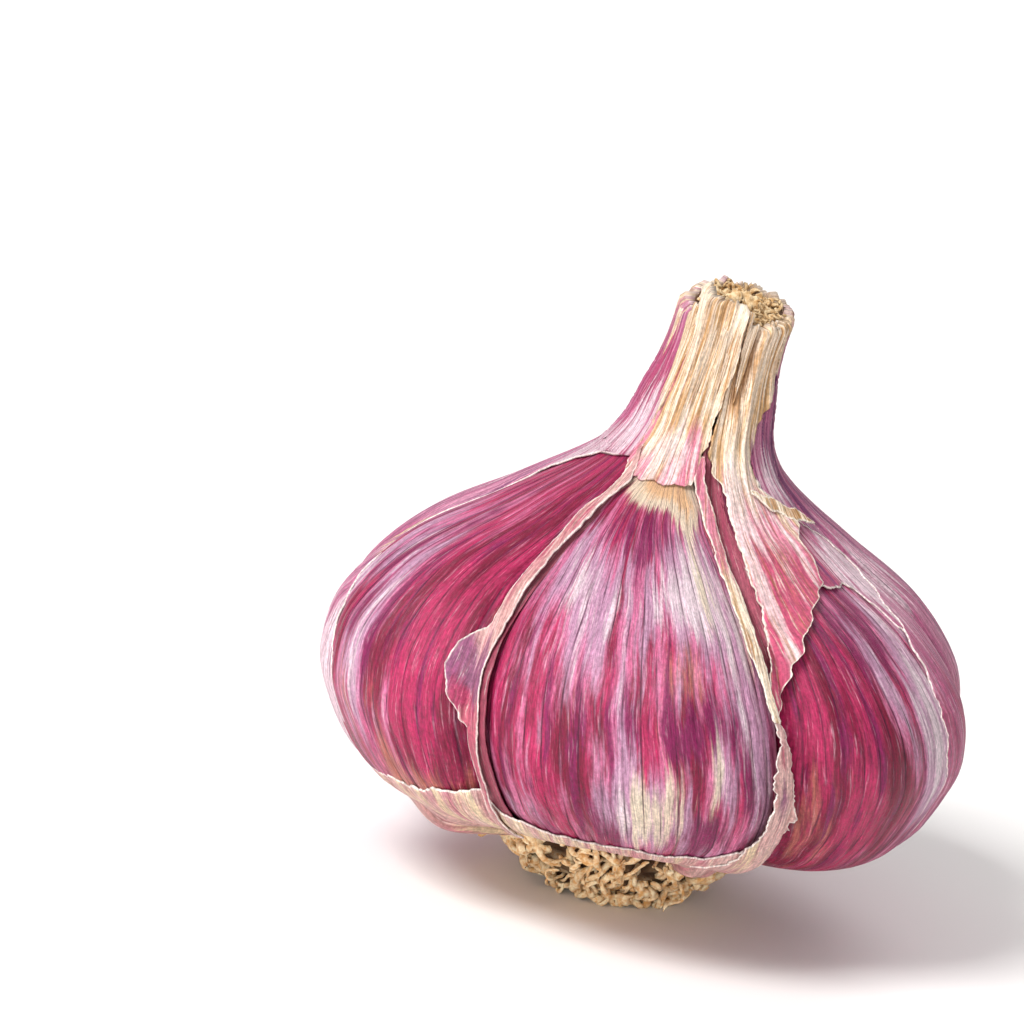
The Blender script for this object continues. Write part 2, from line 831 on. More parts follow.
# Neck leaf: several dried leaves bunched to a fibrous cream strip
SHEATH_FINISH = SkinFinish(
    name="neck_straw",
    ground="#BE9668",
    streaks=(
        Streak("#EBD9C4", 1.1, 20, 0.41, 0.55, cover=0.94),
        Streak("#CF7791", 2.2, 22, 0.66, 0.86, Tint.WARM, 0.5, 0.95),
        Streak("#B03A5E", 1.6, 18, 0.86, 1.1, Tint.WARM, 0.42, 0.85),
        Streak("#7D3F70", 1.2, 24, 0.82, 1.0, Tint.VIOLET, 0.5, 0.9),
        Streak("#A87238", 0.8, 22, 0.6, 0.74, Tint.CREAM, 0.22, 0.75),
        Streak("#E6CFCF", 1.0, 18, 0.6, 0.76, Tint.PALE, 0.3, 0.75),
        Streak("#A06A36", 0.3, 9, 0.54, 0.68, cover=0.6),
        Streak("#F3E6D2", 0.28, 6, 0.56, 0.72, cover=0.5),
    ),
    vein="#8E5B36",
    vein_strength=0.75,
    edge="#F4EBDC",
    edge_mm=0.18,
    roughness=0.62,
    fibre=(0.2, 2.6),
)
# Inner skin: a single thin leaf left in the grooves, pinkish white with a lilac cast
INNER_FINISH = SkinFinish(
    name="inner_paper",
    ground="#C1908C",
    streaks=(
        Streak("#D2ACA6", 1.8, 20, 0.42, 0.6, cover=0.85),
        Streak("#BE6F80", 1.4, 18, 0.52, 0.68, cover=0.75),
        Streak("#7C3C68", 1.6, 14, 0.7, 0.9, Tint.VIOLET, 0.35, 0.85),
        Streak("#A93258", 1.4, 16, 0.72, 0.92, Tint.WARM, 0.4, 0.8),
        Streak("#DCC8A4", 1.2, 14, 0.74, 0.9, Tint.CREAM, 0.3, 0.85),
        Streak("#9C5A60", 0.3, 7, 0.57, 0.7, cover=0.5),
        Streak("#F0E2DA", 0.28, 5, 0.57, 0.72, cover=0.5),
    ),
    vein="#7A4050",
    vein_strength=0.35,
    edge="#EFE4DC",
    edge_mm=0.16,
    roughness=0.55,
)


# Cloves


@dataclass
class Clove:
    """One clove in its own striped skin: a wedge with a round ribbed back."""

    name: str
    seed: int
    layout: tuple[Patch, ...]
    rows: int = 210
    around: int = 220
    vein_gap: float = 1.95
    vein_depth: float = 0.16
    dent: float = 0.26
    spread: Edge = (
        (8.2, 0.3), (8.7, 0.7), (10.4, 0.9), (13.5, 0.98), (18.0, 1.0),
        (29.0, 1.0), (37.0, 0.96), (42.0, 0.86), (44.6, 0.66), (45.8, 0.3),
    )

    def build(self, form: BulbForm, material: bpy.types.Material) -> None:
        """Makes the clove.

        Args:
            form: The bulb's form.
            material: The clove skin.
        """
        shape, noise = CLOVES[self.name], Grain(self.seed)
        share = np.linspace(0, float(form.share_at(form.clove_tip)), self.rows)[:, None]
        crest, z = form.crest(share)
        outer = crest + shape.reach * smooth(z, 8, 14)
        inner = lerp(form.clove_core, form.clove_core + 0.6, smooth(z, 36, 45))
        middle = lerp(inner, outer, form.widest)
        spread = shape.half * lerp(through(self.spread, z), 1, shape.shoulder * smooth(z, 30, 37))
        step = np.linspace(-0.5, 0.5, self.around, endpoint=False)[None, :]
        turn = 2 * np.pi * (step - 0.08 * np.sin(2 * np.pi * step))
        out = np.sign(np.cos(turn)) * np.abs(np.cos(turn)) ** (2 / form.corner)
        side = np.sign(np.sin(turn)) * np.abs(np.sin(turn)) ** (2 / form.corner)
        radius = middle + out * np.where(out > 0, outer - middle, middle - inner)
        points = form.place(shape.middle(z) + side * spread, radius, z + 0 * turn)
        across = np.where(out > 0, side, np.sign(side) * (2 - np.abs(side)))
        across_mm = across * math.radians(shape.half) * form.bulb_radius + 0 * z
        along_mm = share * form.length + 0 * turn
        phase = across_mm / self.vein_gap + 0.55 * noise.at(across_mm / 5.1, along_mm / 60)
        phase = phase + 0.16 * noise.at(across_mm / 7.7 + 40, along_mm / 13)
        size = np.clip(spread / shape.half * crest / form.bulb_radius, 0.15, 1)
        relief = 0.05 * noise.at(phase * 2.0 + 9, along_mm / 24)
        relief -= self.vein_depth * bell(np.abs(phase % 1 - 0.5), 0.11)
        relief = relief * size * smooth(out, -0.3, 0.2)
        relief += self.dent * noise.at(across_mm / 7.0 + 3, along_mm / 15) * size
        points += grid_normals(points) * relief[..., None]
        tint = painted(self.layout, across + 0 * z, z + 0 * across)
        detail = np.stack([phase, NO_EDGE + 0 * phase, smooth(-out, -0.45, 0.25) + 0 * z], -1)
        surface = Surface()
        surface.add(
            np.concatenate([points.reshape(-1, 3), [points[0].mean(0), points[-1].mean(0)]]),
            np.concatenate([grid_faces(self.rows, self.around, closed=True), self._lids()]),
            self._capped(detail),
            self._capped(np.stack([across_mm, along_mm], -1)),
            self._capped(tint),
        )
        surface.finish(self.name, material, "clove_skin", (self.name,))

    def _lids(self) -> Array:
        """Faces that close the foot and the tip onto the last two vertices.

        Returns:
            Four vertex numbers a face, the last one twice.
        """
        here = np.arange(self.around)
        then = (here + 1) % self.around
        last = (self.rows - 1) * self.around
        foot_lid = np.full_like(here, self.rows * self.around)
        foot = np.stack([then, here, foot_lid, foot_lid], -1)
        tip = np.stack([last + here, last + then, foot_lid + 1, foot_lid + 1], -1)
        return np.concatenate([foot, tip])

    def _capped(self, values: Array) -> Array:
        """Values of the grid, with noughts for the two vertices of the lids."""
        flat = values.reshape(-1, values.shape[-1])
        return np.concatenate([flat, np.zeros((2, flat.shape[1]))])


# Leaves

# Rows of a leaf's noise, far enough apart that its edges tear differently
LEFT_ROW, RIGHT_ROW, TOP_ROW, FOOT_ROW, LOW_ROW = 0.5, 31.5, 2.5, 44.5, 5.5


@dataclass
class Leaf:
    """A dried leaf over the cloves, between two torn edges given as height and azimuth.

    high is its top, or none at the neck's top. rag, torn and foot_torn are how far its sides, top
    and foot are torn, curl how far its sides curl outwards in the curled heights, tuck how far they
    are drawn in below the tucked heights, and shade how dark it lies.
    """

    left: Edge
    right: Edge
    rows: int
    columns: int
    seed: int
    layout: tuple[Patch, ...] = ()
    high: float | None = None
    highest: float = 63.4
    slanted: bool = False
    whole: bool = False
    rag: float = 0.5
    torn: float = 0.0
    foot_torn: float = 0.0
    slope: float = 0.0
    curl: tuple[float, float] = (0.35, 0.35)
    curled: tuple[float, float] = (-99.0, 99.0)
    tuck: float = 0.0
    tucked: tuple[float, float] = (31.0, 41.0)
    lift: float = 0.05
    thick: float = 0.2
    neck_wall: float = 1.35
    wrinkle: float = 0.12
    ridge: float = 0.3
    vein_gap: float = 1.6
    grain_radius: float = 26.0
    shade: float = 0.0
    over: Callable[[Array, Array], Array] | None = None

    def lay(self, form: BulbForm, surface: Surface) -> None:
        """Adds the leaf to a surface.

        Args:
            form: The bulb's form.
            surface: What gathers the piece.
        """
        noise = Grain(self.seed)
        a = np.linspace(0, 1, self.rows)[:, None]
        b = np.linspace(0, 1, self.columns)[None, :]
        at_top = lerp(self.left[-1][1], self.right[-1][1], b)
        tops = (form.neck_top if self.high is None else self.high) + form.cut(at_top) * self.slanted
        wander = noise.torn(np.radians(at_top) * form.neck_bore * 2.6, TOP_ROW)
        tops = tops - self.torn * (0.5 + 0.7 * wander) + self.slope * (0.5 - b)
        tops = np.minimum(tops, self.highest)
        foot = self.left[0][0] - self.foot_torn * noise.torn(b * 9, FOOT_ROW)
        start, stop = form.share_at(foot), form.share_at(tops)
        share = lerp(start, stop, a)
        radius, z = form.crest(share)
        along = share * form.length
        per_mm = 1 / np.maximum(np.radians(1) * radius, 0.02)
        ragged = self.rag * (1 - 0.75 * smooth(z, 46, 52)) * per_mm
        first = through(self.left, z) + ragged * noise.torn(along, LEFT_ROW)
        last = through(self.right, z) + ragged * noise.torn(along, RIGHT_ROW)
        azimuth = lerp(first, last, b)
        sides = (azimuth - first) / per_mm, (last - azimuth) / per_mm
        ends = np.minimum((stop - share) * form.length, along - start * form.length + 0.3)
        ends = ends + 0.15 * smooth(z, 50, 55)
        beside = np.minimum(*sides) + 3 * smooth(z, 44.8, 47.5)
        edge = np.minimum(beside, ends) + NO_EDGE * self.whole
        self._shell(form, surface, noise, azimuth, share, edge, sides)

    def _lift(
        self, noise: Grain, azimuth: Array, z: Array, along: Array, sides: tuple[Array, Array]
    ) -> Array:
        """How far the leaf's inner face stands off the cloves.

        Args:
            noise: The leaf's own noise.
            azimuth: Azimuth of each grid point.
            z: Its height on the crest outline.
            along: Millimetres along the outline.
            sides: Millimetres from the left and the right edge.

        Returns:
            Millimetres outwards.
        """
        neck = smooth(z, 44, 52)
        across = np.radians(azimuth) * self.grain_radius
        lift = self.lift + self.wrinkle * noise.at(across / 3.1, along / 11) + 0.3 * neck
        if self.over is not None:
            lift = lift + self.over(azimuth, z)
        low, high = self.curled
        fade = (1 - 0.9 * neck) * smooth(z, low - 2, low + 2) * (1 - smooth(z, high - 2, high + 2))
        for side, curl, row, till in zip(sides, self.curl, (3.5, 17.5), self.tucked):
            wave = 0.55 + 0.6 * noise.at(along / 4.2, row)
            lift = lift + curl * fade * wave * bell(side, 1.3)
            lift = lift - self.tuck * (1 - smooth(z, till - 3, till + 2)) * bell(side, 2.2)
        return lift

    def _shell(
        self,
        form: BulbForm,
        surface: Surface,
        noise: Grain,
        azimuth: Array,
        share: Array,
        edge: Array,
        sides: tuple[Array, Array],
    ) -> None:
        """Thickens the leaf's grid and adds it, with its veins and patches.

        Args:
            form: The bulb's form.
            surface: What gathers the piece.
            noise: The leaf's own noise.
            azimuth: Azimuth of each grid point.
            share: Share of the crest outline of each grid point.
            edge: Millimetres from the nearest torn edge.
            sides: Millimetres from the left and the right edge.
        """
        z = form.crest(share)[1]
        along = share * form.length
        neck = smooth(z, 44, 52)
        across = np.radians(azimuth) * self.grain_radius
        phase = across / self.vein_gap + 0.5 * noise.at(across / 4.3, along / 50)
        lift = self._lift(noise, azimuth, z, along, sides)
        thick = lerp(self.thick, self.neck_wall, neck) + 0 * azimuth
        thick = thick - 0.4 * neck * thick * bell(edge, 0.35)
        folds = noise.at(azimuth / 9.0, along / 30) + 0.8 * noise.at(azimuth / 4.2 + 50, along / 22)
        folds = folds + 0.45 * noise.at(azimuth / 2.1 + 20, along / 14)
        relief = self.ridge * smooth(z, 41, 50) * folds - 0.05 * bell(np.abs(phase % 1 - 0.5), 0.13)
        outer = form.over_crest(azimuth, share, lift + thick + relief)
        inner = form.over_crest(azimuth, share, lift + 0 * azimuth)
        grain = np.stack([across, along + 0 * azimuth], -1)
        tint = painted(self.layout, azimuth, z + 0 * azimuth)
        detail = np.stack([phase, edge, self.shade + 0 * phase], -1)
        behind = detail.copy()
        behind[..., 2] = max(self.shade, 0.35)
        surface.add(
            np.concatenate([outer.reshape(-1, 3), inner.reshape(-1, 3)]),
            sheet_faces(*azimuth.shape),
            np.concatenate([detail, behind]),
            np.concatenate([grain, grain]),
            np.concatenate([tint, tint]),
        )


@dataclass
class Hoop(Leaf):
    """A leaf whose torn edges run round the bulb, each given as azimuth and height."""

    def lay(self, form: BulbForm, surface: Surface) -> None:
        """Adds the leaf, with left as its lower edge and right as its upper edge.

        Args:
            form: The bulb's form.
            surface: What gathers the piece.
        """
        noise = Grain(self.seed)
        a = np.linspace(0, 1, self.rows)[:, None]
        b = np.linspace(0, 1, self.columns)[None, :]
        azimuth = lerp(self.right[0][0], self.right[-1][0], b) + 0 * a
        round_mm = np.radians(azimuth) * 28
        low = through(self.left, azimuth) + 0.6 * self.torn * noise.torn(round_mm, LOW_ROW)
        high = through(self.right, azimuth) + self.rag * noise.torn(round_mm, LEFT_ROW)
        start, stop = form.share_at(low), form.share_at(high)
        share = lerp(start, stop, a)
        below, above = (share - start) * form.length, (stop - share) * form.length
        ends = np.minimum(b, 1 - b) * (self.right[-1][0] - self.right[0][0]) * 0.5
        edge = np.minimum(np.minimum(above, below + 5 * (self.torn == 0)), ends + 0 * a)
        self._shell(form, surface, noise, azimuth, share, edge, (below + NO_EDGE, above))


# The leaves' torn edges, as height and azimuth, or for a hoop as azimuth and height

OUTER_RIGHT: Edge = (
    (8.2, 77), (12, 71), (16, 69), (22, 68.5), (28, 69), (32, 71), (35, 75), (37, 81), (38.4, 85),
    (39.8, 82), (41.6, 72), (42.9, 62), (44.5, 57), (46, 55.5), (49, 60.5), (52.4, 75.5), (55, 89),
    (61.6, 95),
)
OUTER_LEFT: Edge = (
    (8.2, 283), (11, 289), (14, 292), (18, 292.5), (22, 291), (26, 287.5), (30, 282), (34, 276.5),
    (37.6, 273), (40.4, 276), (43, 289), (44.6, 303), (45.1, 318), (45.5, 327.5), (52, 328),
    (61.6, 329),
)
FRONT_LEFT: Edge = ((44.0, -28), (45.5, -32.5), (47, -33.6), (51, -33.2), (61.6, -32))
FRONT_RIGHT: Edge = ((44.0, 12), (46.5, 18), (49, 19.5), (52, 22.5), (55.8, 27), (61.6, 24))
RIGHT_LEFT: Edge = (
    (27.8, 27.2), (30.5, 28.5), (33.2, 30.0), (34.6, 31.3), (36.7, 32.6), (38.9, 32.2), (41.9, 32),
    (44.3, 30), (45.6, 24), (46.8, 19.8), (49, 20.8), (52, 24), (55.8, 28.5), (61.6, 25.5),
)
RIGHT_RIGHT: Edge = (
    (27.8, 28), (29.9, 30.8), (32, 34.3), (33.5, 38.8), (35.6, 45.5), (36.8, 52), (37.6, 57),
    (39.1, 60), (40.3, 60.5), (41.4, 66), (42.3, 65), (43.4, 59), (44.5, 55.8), (46, 54.2),
    (49, 59.2), (52.4, 73.5), (55, 87), (61.6, 93),
)
DIVIDER_LEFT: Edge = (
    (9, -31.5), (13, -29.8), (17, -30), (20, -31), (22, -33), (24.5, -35), (27, -36), (29, -35.2),
    (32, -31.6), (36, -29.6), (40, -27.6), (43, -25.2), (46.4, -28),
)
DIVIDER_RIGHT: Edge = (
    (9, -28.4), (17, -28.2), (24, -28.4), (28, -28.4), (33, -26.8), (37, -25.8), (41, -22.8),
    (43.5, -19.6), (46.4, -27),
)
GROOVE_LEFT: Edge = ((9, -31), (40, -30.5), (45, -27))
GROOVE_RIGHT: Edge = (
    (9, -25), (14, -25.6), (22, -26.6), (30, -26.9), (38, -25.2), (42, -22), (45, -25),
)
BORDER_LEFT: Edge = (
    (27.7, 27.2), (29.7, 26.6), (34, 25), (36.6, 24.2), (39.3, 22.6), (42, 19.4), (44.9, 13.5),
    (46.6, 16.5),
)
BORDER_RIGHT: Edge = (
    (27.7, 28.6), (34, 28.2), (36.6, 27.8), (39.3, 27), (42, 25), (44.9, 19.5), (46.6, 17.5),
)
HOLLOW_LEFT: Edge = ((30, 27.5), (34, 26.5), (38, 25), (42, 20.5), (44.6, 16), (48.5, 18.5))
HOLLOW_RIGHT: Edge = ((30, 31), (34, 33.5), (38, 35), (42, 35), (44.6, 32), (48.5, 23))
COLLAR_LOW: Edge = ((-78, 8.2), (31, 8.2))
COLLAR_HIGH: Edge = (
    (-78, 9.0), (-66, 11.6), (-52, 12.4), (-40, 12.6), (-33, 12.8), (-26, 11.6), (-10, 10.8),
    (4, 10.6), (14, 11.2), (24, 12.6), (31, 10.4),
)
SPIKE_LEFT: Edge = ((9, 14), (12, 22), (17.5, 26), (24.9, 27.4), (28.5, 27.6))
SPIKE_RIGHT: Edge = ((9, 26), (11, 30), (15, 32.4), (19.5, 32), (24.9, 30), (28.5, 28.4))
SHOULDER_LOW: Edge = (
    (54, 37.9), (58, 37.2), (63, 37.0), (66, 37.3), (69, 36.9), (71, 35.8), (73, 33.8), (75, 32),
    (92, 31),
)
SHOULDER_HIGH: Edge = ((54, 43.6), (92, 43.6))
CURL_LOW: Edge = ((46, 43.7), (56, 42.4), (66.8, 41.5), (76, 41.0))
CURL_HIGH: Edge = ((46, 44.0), (56, 43.3), (66.8, 42.3), (76, 41.2))


def over_shoulder(azimuth: Array, z: Array) -> Array:
    """Lift of the outer wrapper where it rides over the skin on the right shoulder.

    Args:
        azimuth: Azimuths.
        z: Heights.

    Returns:
        Millimetres outwards.
    """
    turn = azimuth % 360
    side = smooth(turn, 42, 56) * (1 - smooth(turn, 104, 124))
    return 0.12 * side * smooth(z, 17, 24) * (1 - smooth(z, 39, 42.5))


def hanging(azimuth: Array, z: Array) -> Array:
    """Lift of the collar where its torn foot hangs free, at the left and over the roots.

    Args:
        azimuth: Azimuths.
        z: Heights.

    Returns:
        Millimetres outwards.
    """
    ragged = 1 + 0.45 * Grain(83).at(azimuth / 1.5 + 60)
    left = 1.9 * bell(azimuth + 61, 6) * (1 - smooth(z, 8.5, 9.9))
    right = 2.0 * bell(azimuth - 23, 6) * (1 - smooth(z, 8.25, 9.0))
    return (left + right) * ragged


def folded_in(azimuth: Array, z: Array) -> Array:
    """Lift of the right sheath, below nought in the hollow under the fold at its top.

    Args:
        azimuth: Azimuths.
        z: Heights.

    Returns:
        Millimetres outwards.
    """
    return -1.2 * bell(azimuth - 37, 7) * smooth(z, 49, 54) * (1 - smooth(z, 59.6, 60.6))


@dataclass(frozen=True)
class Skin:
    """One piece of papery skin: its node, its material slot, its finish and its leaves."""

    name: str
    slot: str
    finish: SkinFinish
    leaves: tuple[Leaf, ...]


OUTER_WRAPPER = Leaf(
    OUTER_RIGHT,
    OUTER_LEFT,
    rows=205,
    columns=200,
    seed=11,
    slanted=True,
    rag=0.8,
    torn=1.4,
    curl=(0.0, 0.2),
    curled=(34.0, 40.0),
    tuck=0.4,
    wrinkle=0.08,
    over=over_shoulder,
    layout=patches(
        pale=(
            (286, 16, 14, 12, 1.5), (318, 48, 14, 5, 0.9), (290, 44, 24, 5, 0.9),
            (70, 45, 10, 3, 1.0), (92, 37, 14, 4, 0.8), (150, 34, 26, 8, 0.9),
            (240, 28, 22, 12, 0.8),
        ),
        cream=((277, 34, 8, 5, 0.8), (180, 62, 160, 10, 1.1), (331, 55, 8, 12, 1.1)),
        warm=(
            (308, 52, 24, 9, 1.1), (318, 45, 10, 1.5, 1.0), (80, 24, 16, 10, 0.8),
            (200, 22, 40, 8, 0.8), (115, 20, 18, 10, 0.9),
        ),
        violet=((84, 44, 20, 5, 0.8), (88, 52, 14, 6, 0.6), (170, 30, 60, 14, 0.35)),
    ),
)
FRONT_SHEATH = Leaf(
    FRONT_LEFT,
    FRONT_RIGHT,
    rows=170,
    columns=72,
    seed=5,
    high=62.8,
    torn=1.2,
    foot_torn=0.4,
    slope=1.8,
    curl=(0.05, 0.3),
    lift=0.08,
    ridge=0.4,
    vein_gap=0.8,
    grain_radius=11.0,
    layout=patches(
        warm=((-12, 44.3, 30, 2.0, 0.6), (-32, 52, 7, 8, 0.8), (10, 47, 6, 3, 0.9)),
        pale=((-8, 46, 22, 3.5, 0.9),),
        cream=((22, 57, 6, 6, 1.0),),
    ),
)
RIGHT_SHEATH = Leaf(
    RIGHT_LEFT,
    RIGHT_RIGHT,
    rows=240,
    columns=86,
    seed=23,
    slanted=True,
    rag=0.35,
    torn=1.4,
    curl=(0.5, 0.3),
    lift=0.2,
    wrinkle=0.2,
    ridge=0.4,
    vein_gap=1.0,
    grain_radius=14.0,
    over=folded_in,
    layout=patches(
        warm=((44, 36, 26, 6.5, 1.7), (30, 30, 20, 6, 1.2)),
        pale=((35, 38, 2.6, 8, 1.1), (44, 43, 16, 4, 0.7)),
        violet=((62, 46, 10, 5, 0.8),),
        cream=((37, 56, 8, 5, 2.4),),
    ),
)
BORDER = Leaf(
    BORDER_LEFT,
    BORDER_RIGHT,
    rows=150,
    columns=16,
    seed=27,
    high=46.6,
    rag=0.25,
    curl=(0.0, 0.35),
    lift=0.3,
    layout=patches(
        warm=((14, 44, 10, 3, 1.2), (24, 40, 4, 3, 0.8)),
    ),
)
CURLED_RIM = Hoop(
    CURL_LOW,
    CURL_HIGH,
    rows=10,
    columns=120,
    seed=29,
    rag=0.15,
    torn=0.2,
    curl=(0.0, 0.35),
    lift=0.5,
    layout=patches(
        cream=((60, 42, 20, 3, 0.7),),
    ),
)
SHOULDER = Hoop(
    SHOULDER_LOW,
    SHOULDER_HIGH,
    rows=42,
    columns=220,
    seed=31,
    rag=0.0,
    torn=0.5,
    curl=(0.15, 0.0),
    lift=0.0,
    wrinkle=0.05,
    layout=patches(
        pale=((74, 37, 8, 4, 1.0), (76, 38.5, 8, 2, 0.9)),
        warm=((62, 39, 12, 3, 1.5),),
    ),
)
COLLAR = Hoop(
    COLLAR_LOW,
    COLLAR_HIGH,
    rows=28,
    columns=360,
    seed=41,
    rag=0.55,
    curl=(0.0, -0.25),
    lift=0.02,
    over=hanging,
    layout=patches(
        cream=((-30, 10, 70, 5, 1.1),),
        warm=((0, 12, 16, 1, 0.5),),
    ),
)
DIVIDER = Leaf(
    DIVIDER_LEFT,
    DIVIDER_RIGHT,
    rows=270,
    columns=24,
    seed=43,
    high=46.4,
    rag=0.22,
    curl=(0.6, 0.1),
    lift=0.15,
    layout=patches(
        violet=((-33, 26, 6, 4.5, 1.7),),
        warm=((-33, 22, 6, 5, 1.3), (-28, 38, 6, 6, 1.1), (-30, 15, 6, 5, 0.9)),
        cream=((-26, 43, 6, 3, 0.8),),
    ),
)
SPIKE = Leaf(
    SPIKE_LEFT,
    SPIKE_RIGHT,
    rows=160,
    columns=26,
    seed=47,
    high=28.5,
    rag=0.8,
    curl=(0.1, 0.45),
    lift=0.15,
    layout=patches(
        violet=((28, 19, 6, 5, 0.8),),
        warm=((30, 25, 6, 3, 0.7),),
        cream=((24, 12, 8, 4, 1.0),),
    ),
)
HOLLOW = Leaf(
    HOLLOW_LEFT,
    HOLLOW_RIGHT,
    rows=90,
    columns=16,
    seed=49,
    high=48.5,
    whole=True,
    rag=0.2,
    curl=(0.0, 0.0),
    lift=-0.25,
    thick=0.15,
    neck_wall=0.3,
    shade=0.3,
    layout=patches(
        warm=((28, 40, 20, 14, 2.6),),
    ),
)
GROOVE = Leaf(
    GROOVE_LEFT,
    GROOVE_RIGHT,
    rows=110,
    columns=8,
    seed=53,
    high=45.0,
    whole=True,
    rag=0.12,
    curl=(0.0, 0.0),
    lift=-0.25,
    thick=0.12,
    shade=0.48,
    layout=patches(
        warm=((-28, 26, 20, 30, 2.6),),
    ),
)
SKINS: tuple[Skin, ...] = (
    Skin("outer_wrapper", "wrapper", WRAPPER_FINISH, (OUTER_WRAPPER,)),
    Skin("front_sheath", "sheath", SHEATH_FINISH, (FRONT_SHEATH,)),
    Skin("right_sheath", "sheath", SHEATH_FINISH, (RIGHT_SHEATH, BORDER, CURLED_RIM)),
    Skin("shoulder_skin", "inner_skin", WRAPPER_FINISH, (SHOULDER,)),
    Skin("inner_skin", "inner_skin", INNER_FINISH, (COLLAR, DIVIDER, SPIKE, HOLLOW, GROOVE)),
)


@dataclass
class Skins:
    """All the papery leaves of the bulb."""

    form: BulbForm

    def build(self) -> None:
        """Makes the wrapper, the two sheaths, the shoulder skin and the inner skin."""
        finishes = (WRAPPER_FINISH, SHEATH_FINISH, INNER_FINISH)
        materials = {finish.name: finish.make() for finish in finishes}
        for skin in SKINS:
            surface = Surface()
            for leaf in skin.leaves:
                leaf.lay(self.form, surface)
            surface.finish(skin.name, materials[skin.finish.name], skin.slot, (skin.name,))


# Strands


def add_tube(surface: Surface, centre: Array, radii: Array, depth: Array, sides: int = 6) -> None:
    """Adds a round strand with closed ends.

    Args:
        surface: What gathers the piece.
        centre: Points of the middle line.
        radii: Radius at each of them.
        depth: How far each lies in the dark, 0 to 1.
        sides: Corners of the strand's section.
    """
    ahead = np.gradient(centre, axis=0)
    ahead /= np.linalg.norm(ahead, axis=1, keepdims=True)
    across = np.cross(ahead, (0.31, 0.17, 0.93))
    across /= np.maximum(np.linalg.norm(across, axis=1, keepdims=True), 1e-6)
    other = np.cross(across, ahead)
    turn = np.linspace(0, 2 * np.pi, sides, endpoint=False)[None, :, None]
    ring = across[:, None] * np.cos(turn) + other[:, None] * np.sin(turn)
    points = centre[:, None] + ring * radii[:, None, None]
    points[..., 2] = np.maximum(points[..., 2], 0)
    rows = len(centre)
    near = np.array([(0, k, k + 1, k + 1) for k in range(1, sides - 1)])
    far = near[:, ::-1] + (rows - 1) * sides
    faces = np.concatenate([grid_faces(rows, sides, closed=True), near, far])
    surface.add_dark(points, faces, np.repeat(depth, sides))


def curly_path(
    draw: Draw, start: Array, steps: int, step: float, curl: float, keep: Callable[[Array], Array]
) -> Array:
    """A tangled path.

    Args:
        draw: Source of the random draws.
        start: First point.
        steps: Number of points.
        step: Millimetres between points.
        curl: How sharply the path turns.
        keep: Returns the push that holds a point within its tuft.

    Returns:
        The path's points.
    """
    heading = draw.normal(size=3)
    bend = draw.normal(size=3)
    path = [np.array(start, float)]
    for _ in range(steps - 1):
        bend = 0.85 * bend + 0.45 * draw.normal(size=3)
        heading = heading + curl * bend + keep(path[-1])
        heading /= np.linalg.norm(heading)
        path.append(path[-1] + step * heading)
    return np.array(path)


# The neck


